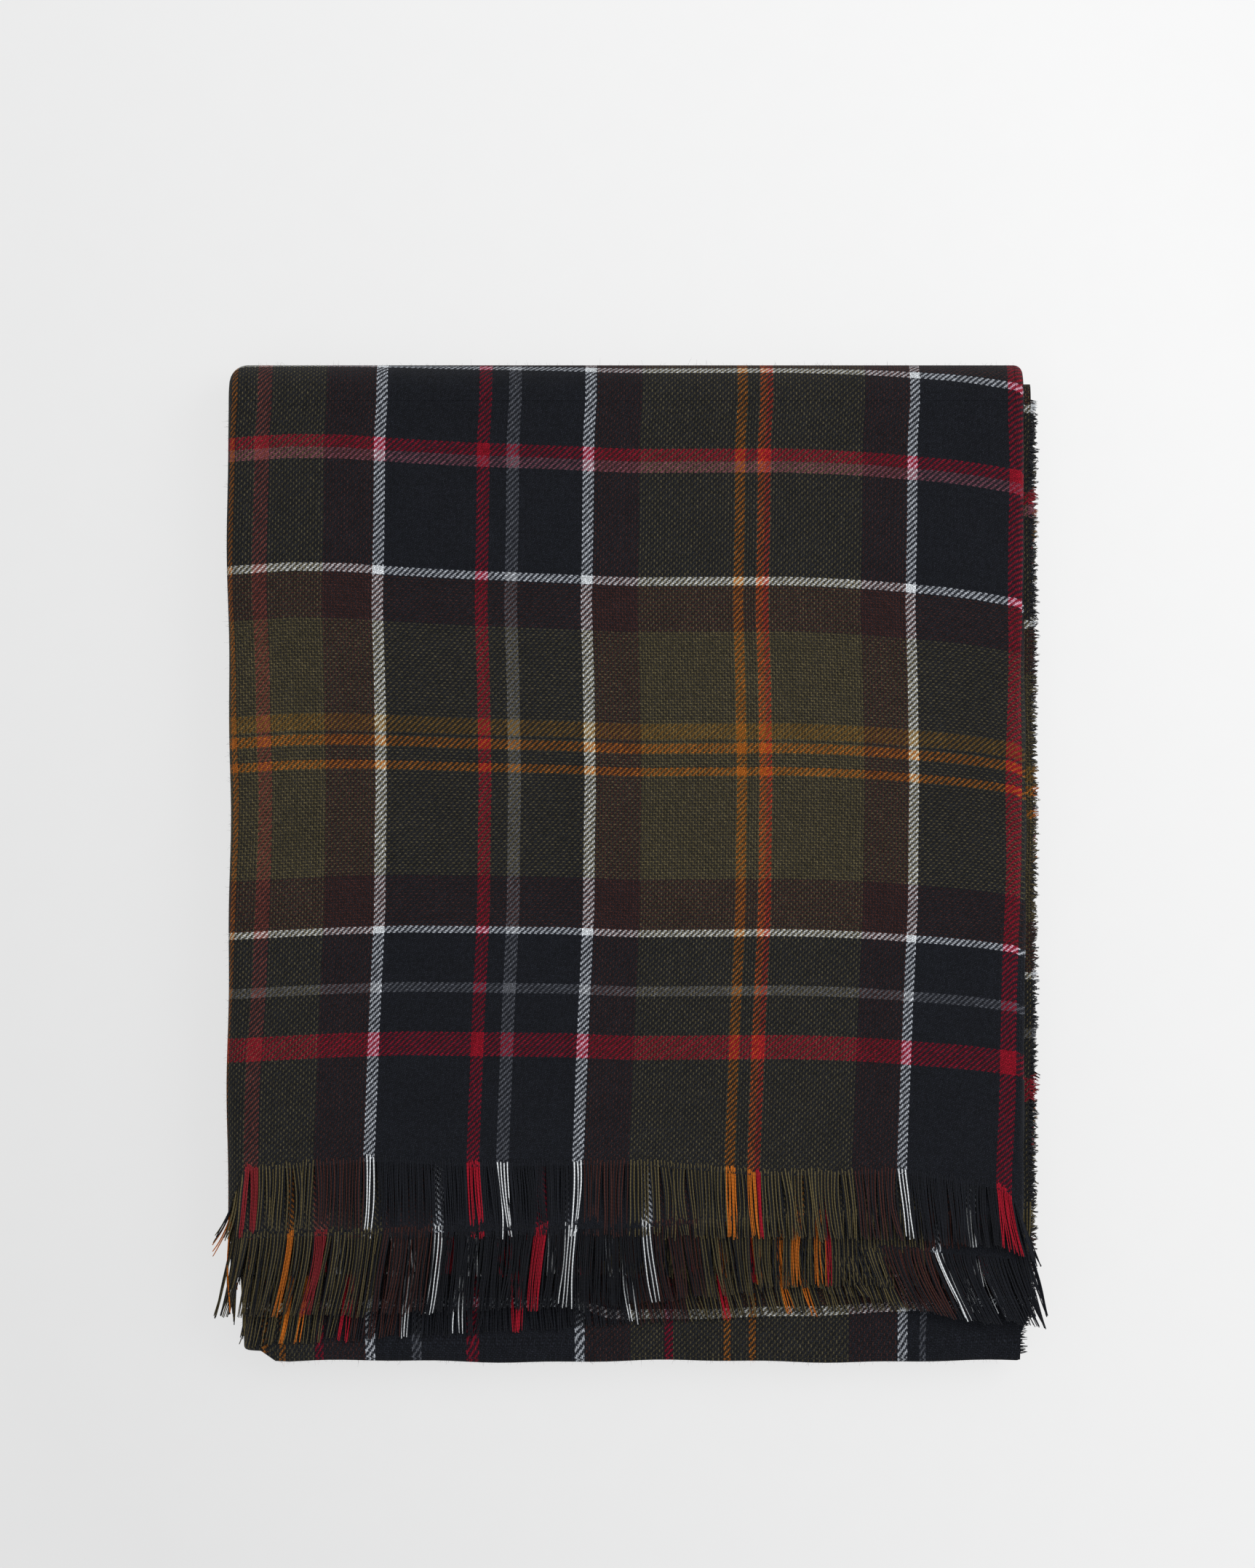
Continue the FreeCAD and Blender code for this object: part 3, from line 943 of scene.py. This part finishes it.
# %% Grow the fringe rows
STRAND = 0.35
HIDDEN_LENGTH, SHORTEST = 28.5, 14
row_tips = {
    8: table((-178, -164), (-165, -164), (0, -163.5), (120, -165.5), (160, -168.5), (173, -178)),
    7: table((-170, -199.6), (-60, -197), (0, -194), (26, -191), (74, -186), (150, -187), (173, -192)),
    5: table((-170, -181), (40, -183), (80, -188), (100, -193), (130, -201), (170, -204)),
    1: table((-178, -196), (-171, -208), (-166, -213), (-100, -209.5), (-53, -206.5), (0, -203), (60, -199),
             (110, -197), (173, -200)),
}
row_lean = {
    8: table((-178, -9), (-172, -4.5), (-166, -1.6), (-118, -1.3), (-70, 1.9), (-57, 3), (-23, -1), (0, 0),
             (23, 2.6), (43, 1), (55, 1.9), (120, 3.6), (161, 2.2), (173, 9)),
    7: table((-176, -10.5), (-169, -9), (-162, -7.3), (-137, -8), (-86, -3.8), (-41, -3.8), (-25, -2.9),
             (7, 4.5), (35, 5.5), (72, -1.3), (85, 0.6), (140, 4.5), (165, 9), (173, 11.5)),
    5: table((-170, 0), (60, 3), (100, 9), (130, 13.5), (168, 12)),
    1: table((-178, -1), (-171, -2), (-166, -6.4), (-54, 0), (10, 5), (74, 5.6), (120, 8), (140, 10),
             (173, 9)),
}
ROW_DROP = {8: 1.6, 1: 0.5}


def ply_range(ply):
    """The part of the spiral that belongs to a ply: its run and half of each fold beside it."""
    plies = OUTER if ply in OUTER else INNER
    span = 2 * plies.index(ply)
    low = 0.0 if span == 0 else (STARTS[span - 1] + STARTS[span]) / 2
    high = FULL_WIDTH if span == 6 else (STARTS[span + 1] + STARTS[span + 2]) / 2
    return low, high


def grow_fringe(ply):
    draw = np.random.default_rng(410 + ply)
    shown = ply in row_tips
    inner = ply in INNER
    low, high = ply_range(ply)
    ends = np.arange(math.ceil(low / THREAD), math.floor(high / THREAD))
    u = (ends + 0.5) * THREAD
    root_x, root_z = spiral(u, INNER if inner else OUTER)
    hem = inner_hem(u) if inner else outer_hem(u)
    clump = np.zeros(len(u), int)
    place = 0
    while place < len(u):
        size = int(draw.integers(4, 10))
        clump[place:place + size] = clump[place - 1] + 1 if place else 0
        place += size
    clumps = clump.max() + 1
    middle = np.bincount(clump, root_x, clumps) / np.bincount(clump, minlength=clumps)
    gather = draw.uniform(-0.1, 0.42, clumps)[clump]
    end_group = smooth((np.abs(root_x) - 160) / 12)
    gather = gather + (0.75 - gather) * end_group
    lean = (row_lean[ply](root_x) if shown else draw.normal(0, 1, len(u)) * 0.4)
    lean = lean + draw.normal(0, 0.4, clumps)[clump] + draw.normal(0, 0.2, len(u))
    tip = row_tips[ply](root_x) if shown else hem - HIDDEN_LENGTH
    tip = np.minimum(tip, hem - SHORTEST) + draw.normal(0, 0.5, clumps)[clump] + draw.normal(0, 0.5, len(u))
    bow = draw.normal(0, 0.5, clumps)[clump] + draw.normal(0, 0.15, len(u))
    wave, turn = draw.uniform(0.05, 0.28, (len(u), 1)), draw.uniform(0, 6.3, (len(u), 1))
    rise = draw.uniform(0, 0.8, clumps)[clump] + draw.uniform(-0.2, 0.2, len(u))
    steps = 12 if shown else 6
    along = np.linspace(0, 1, steps)[None, :]
    x = root_x[:, None] + lean[:, None] * along ** 1.35
    x = x + (middle[clump] - root_x)[:, None] * gather[:, None] * along ** 1.2
    x = x + bow[:, None] * np.sin(np.pi * along) + wave * np.sin(8 * along + turn) * along
    start = hem + draw.uniform(1.2, 3.4, len(u))
    y = start[:, None] + (tip - start)[:, None] * along
    drop = ROW_DROP.get(ply, 0.6 * (level(ply) - level(1)))
    z = root_z[:, None] - drop * smooth(along * 1.05) + rise[:, None] * np.sin(np.pi * along) * 0.8
    z = z + 0.75 * (1 - smooth(along * 4)) * (root_z > level(ply) - 0.5)[:, None]
    x, y, z = settle(x, y, z, 0.0)
    radius = STRAND * draw.uniform(0.85, 1.15, (len(u), 1)) * (1 - 0.35 * along ** 3)
    radius = radius * (1 + 0.25 * end_group[:, None])
    shift_u, shift_v = threads_flap(u, hem, inner)
    uv = np.stack(
        [np.broadcast_to(shift_u[:, None], x.shape), shift_v[:, None] + (tip - hem)[:, None] * along], -1
    )
    batch = tubes(np.stack([x, y, z], -1), radius, 4, uv)
    piece = yarn_piece(f"fringe_row_{ply}", [batch], fringe_material, "flap")
    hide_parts(f"fringe_{ply}")
    return piece


fringe_rows = {ply: grow_fringe(ply) for ply in range(1, PLIES + 1)}
print("fringe rows", {ply: len(row.data.polygons) for ply, row in fringe_rows.items()})

# %% [markdown]
# ## Cut side edges
# The throw's two long sides are cut, and the weft ends stick out of plies 1 to 4 of each half as short soft
# spikes. They clump in twos, threes and fours, and take their colour from the weft.

# %% Grow the raw edges
CUT_PLIES = (1, 2, 3, 4)
TUFT = 3.3


def grow_raw_edge(body, side):
    draw = np.random.default_rng(77 if side > 0 else 78)
    batches = []
    for ply in CUT_PLIES:
        inner = ply in INNER
        edge_u = 0.0 if ply in (1, 2) else FULL_WIDTH
        hem = (inner_hem(edge_u) if inner else outer_hem(edge_u)) if side > 0 else LAST_PICK_Y
        y, spikes = float(hem) + 0.5, []
        while y < HINGE_Y - 0.5:
            width = THREAD * draw.integers(2, 5)
            length, slope = draw.uniform(0.55, 1.05) * TUFT, draw.normal(0, 0.7)
            tip = y + width / 2 + slope
            for _ in range(int(draw.integers(4, 7))):
                root, end = draw.uniform(y, y + width), tip + draw.normal(0, 0.25)
                spikes.append((root, end, length * draw.uniform(0.75, 1.0)))
            y += width
        root, tips, lengths = (np.array(column) for column in zip(*spikes))
        height = side * level(ply)
        along = np.linspace(0, 1, 4)[None, :]
        edge_x, edge_y, edge_z = settle(np.full_like(root, CUT_X), root, np.full_like(root, height),
                                        edge_phase(height))
        x = edge_x[:, None] - 0.8 + (lengths[:, None] + 0.8) * along
        y_path = edge_y[:, None] + (tips - root)[:, None] * along ** 1.4
        z = edge_z[:, None] + draw.normal(0, 0.35, len(root))[:, None] * along - 0.25 * along ** 2
        _, pick = threads_flap(np.full_like(root, edge_u), root, inner)
        if side < 0:
            down = (HINGE_Y - root) / (HINGE_Y - LAST_PICK_Y)
            _, _, _, _, pick = base_side(np.full_like(root, edge_u), down, inner)
        uv = np.stack([np.broadcast_to(root[:, None], x.shape), np.broadcast_to(pick[:, None], x.shape)], -1)
        radius = np.broadcast_to(0.3 * (1 - 0.65 * along), x.shape)
        batches.append(tubes(np.stack([x, y_path, z], -1), radius, 3, uv))
    piece = yarn_piece(f"{body}_raw_edge", batches, weft_end_material, body)
    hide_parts(f"{body}_cut_edge_tufts")
    return piece


flap_raw_edge = grow_raw_edge("flap", 1)
base_raw_edge = grow_raw_edge("base", -1)
print("raw edges", len(flap_raw_edge.data.polygons), len(base_raw_edge.data.polygons), "faces")

# %% [markdown]
# ## Raised nap along the folds
# Brushing leaves short fibres standing on every fold and edge, and they soften the outline. Each fibre is a
# hair-thin tube that leaves the cloth at a fold and bends over. Fibres also stand on the last fold's
# outermost ply.

# %% Raise the nap
FIBRE = 0.035


def grow_nap(points, outward, threads, seed):
    draw = np.random.default_rng(seed)
    count = len(points)
    length = (0.4 + 1.3 * draw.uniform(0, 1, count) ** 2)[:, None, None]
    along = np.linspace(0, 1, 4)[None, :, None]
    sweep = draw.normal(0, 0.55, (count, 1, 3))
    paths = points[:, None] + outward[:, None] * length * along + sweep * length * along ** 2
    paths[..., 2] = np.maximum(paths[..., 2], 0.1)
    radius = np.broadcast_to(FIBRE * (1 - 0.6 * along[..., 0]), (count, 4))
    uv = np.broadcast_to(threads[:, None], (count, 4, 2))
    return tubes(paths, radius, 3, uv)


def fold_nap(side, seed, count):
    """Fibres on the side folds of the flap (1) or the base (-1)."""
    draw = np.random.default_rng(seed)
    spans = draw.choice([1, 1, 1, 3], count)
    share = draw.uniform(0.05, 0.95, count)
    u = STARTS[spans] + SPANS[spans] * share
    x, z = spiral(u, OUTER)
    y = draw.uniform(-150 if side > 0 else LAST_PICK_Y + 2, HINGE_Y - 1, count)
    nearer = np.where(spans == 1, LEFT_X, RIGHT_X)
    middle = np.where(spans == 1, PLIES / 2, PLIES * 3 / 4) * PITCH
    across, along = threads_flap(u, y, False)
    if side < 0:
        across, along = u, y * 0 + 300
    z = z * side
    outward = np.stack([x - nearer, np.zeros(count), z - middle * side], -1)
    outward /= np.linalg.norm(outward, axis=1, keepdims=True)
    x, y, z = settle(x, y, z, edge_phase(z))
    points = np.stack([x, y, z], -1) + outward * (CLOTH / 2 - 0.1)
    return grow_nap(points, outward, np.stack([across, along], -1), seed + 1)


def bottom_nap(seed, count):
    """Fibres on the four bottom folds of the base."""
    draw = np.random.default_rng(seed)
    x = draw.uniform(LEFT_X, RIGHT_X - 2, count)
    pair = draw.integers(0, 4, count)
    angle = draw.uniform(-1.3, 1.3, count)
    height = -(2 * pair + 1) * PITCH - np.sin(angle) * (PITCH / 2)
    y = LAST_PICK_Y - np.cos(angle) * PITCH / 2
    outward = np.stack([np.zeros(count), -np.cos(angle), -np.sin(angle)], -1)
    u = CUT_X - x - UNDER_SHIFT
    x, y, z = settle(x, y, height)
    points = np.stack([x, y, z], -1) + outward * (CLOTH / 2 - 0.1)
    return grow_nap(points, outward, np.stack([u, u * 0 + MIDDLE], -1), seed + 1)


def top_nap(seed, count):
    """Fibres on the outermost top fold."""
    draw = np.random.default_rng(seed)
    u = draw.uniform(STARTS[2], STARTS[3], count)
    angle = draw.uniform(-1.4, 1.5, count)
    x, radius = spiral(u, OUTER)
    outward = np.stack([np.zeros(count), np.cos(angle), np.sin(angle)], -1)
    middle = np.stack([x, np.full(count, HINGE_Y), np.full(count, HINGE_Z)], -1)
    points = middle + outward * (radius + CLOTH / 2 - 0.1)[:, None]
    across, along = threads_flap(u, np.full(count, HINGE_Y), False)
    return grow_nap(points, outward, np.stack([across, along], -1), seed + 1)


flap_nap = yarn_piece("flap_nap", [fold_nap(1, 501, 1600)], fringe_material, "flap")
base_nap = yarn_piece(
    "base_nap", [fold_nap(-1, 503, 1200), bottom_nap(505, 1500)], fringe_material, "base"
)
top_fold_nap = yarn_piece("top_fold_nap", [top_nap(507, 1300)], fringe_material, None)
blend_at_hinge(top_fold_nap)
print("nap faces", [len(nap.data.polygons) for nap in (flap_nap, base_nap, top_fold_nap)])

# %% [markdown]
# The flat size that each flap sheet was cut to is worked out in metres, and not used further. The two
# innermost top folds are under a centimetre long, too short to count alone, so they go with the base's cloth.

# %% Flat sizes
def flat_metres(width, length):
    return (width * MM, length * MM)


def mean_length(hem):
    return float(HINGE_Y - np.mean(hem(COLUMNS)))


flat_metres(FULL_WIDTH, mean_length(outer_hem))
flat_metres(FULL_WIDTH, mean_length(inner_hem))

# %% [markdown]
# ## Floor and light
# A pale matt floor that glows like a lit table, a bright even sky and one wide soft lamp up on the right give
# the look of a catalogue page: almost no shadow. The floor's glow is painted a touch brighter on the right
# and at the top, as painted light.

# %% Make the floor and lights
FLOOR_GLOW, GLOW_SPREAD = 0.742, 0.08
FLOOR_HALF = 6.0


def make_floor():
    half = FLOOR_HALF
    mesh = bpy.data.meshes.new("pale_floor")
    corners = [(-half, -half, 0), (half, -half, 0), (half, half, 0), (-half, half, 0)]
    mesh.from_pydata(corners, [], [(0, 1, 2, 3)])
    floor = bpy.data.objects.new("pale_floor", mesh)
    bpy.context.scene.collection.objects.link(floor)
    paint = bpy.data.materials.new("pale_paint")
    paint.use_nodes = True
    tree = paint.node_tree
    shader = tree.nodes["Principled BSDF"]
    shader.inputs["Roughness"].default_value = 0.9
    shader.inputs["Specular IOR Level"].default_value = 0.0
    coordinates = add(tree, "TexCoord")
    fine = add(tree, "TexNoise")
    fine.inputs["Scale"].default_value = 60.0
    tree.links.new(coordinates.outputs["Object"], fine.inputs["Vector"])
    colour = mix_colour(tree, fine.outputs["Fac"], (0.1, 0.1, 0.1, 1), (0.11, 0.11, 0.11, 1))
    feed(tree, shader.inputs["Base Color"], colour)
    place = add(tree, "SeparateXYZ")
    tree.links.new(coordinates.outputs["Object"], place.inputs[0])
    # Painted light: the floor's glow rises towards the right and the top, within a narrow band.
    slope = calc(tree, "MULTIPLY_ADD", place.outputs[0], 0.2, FLOOR_GLOW)
    slope = calc(tree, "MULTIPLY_ADD", place.outputs[1], 0.12, slope)
    slope = calc(tree, "MAXIMUM", slope, FLOOR_GLOW - GLOW_SPREAD)
    slope = calc(tree, "MINIMUM", slope, FLOOR_GLOW + GLOW_SPREAD)
    feed(tree, shader.inputs["Emission Color"], grey(tree, slope))
    shader.inputs["Emission Strength"].default_value = 1.0
    mesh.materials.append(paint)
    return floor


def make_sky(strength):
    world = bpy.data.worlds.new("soft_sky")
    world.use_nodes = True
    sky = world.node_tree.nodes["Background"]
    sky.inputs[0].default_value = (0.97, 0.985, 1.0, 1.0)
    sky.inputs[1].default_value = strength
    bpy.context.scene.world = world


def make_lamp(name, place, size, power):
    data = bpy.data.lights.new(name, "AREA")
    data.size = size
    data.energy = power
    lamp = bpy.data.objects.new(name, data)
    lamp.location = place
    lamp.rotation_mode = "QUATERNION"
    lamp.rotation_quaternion = lamp.location.to_track_quat("Z", "Y")
    bpy.context.scene.collection.objects.link(lamp)
    return lamp


floor = make_floor()
make_sky(0.75)
make_lamp("soft_lamp_right", (1.3, 0.7, 1.3), 1.4, 20.0)
print("floor and lights made")
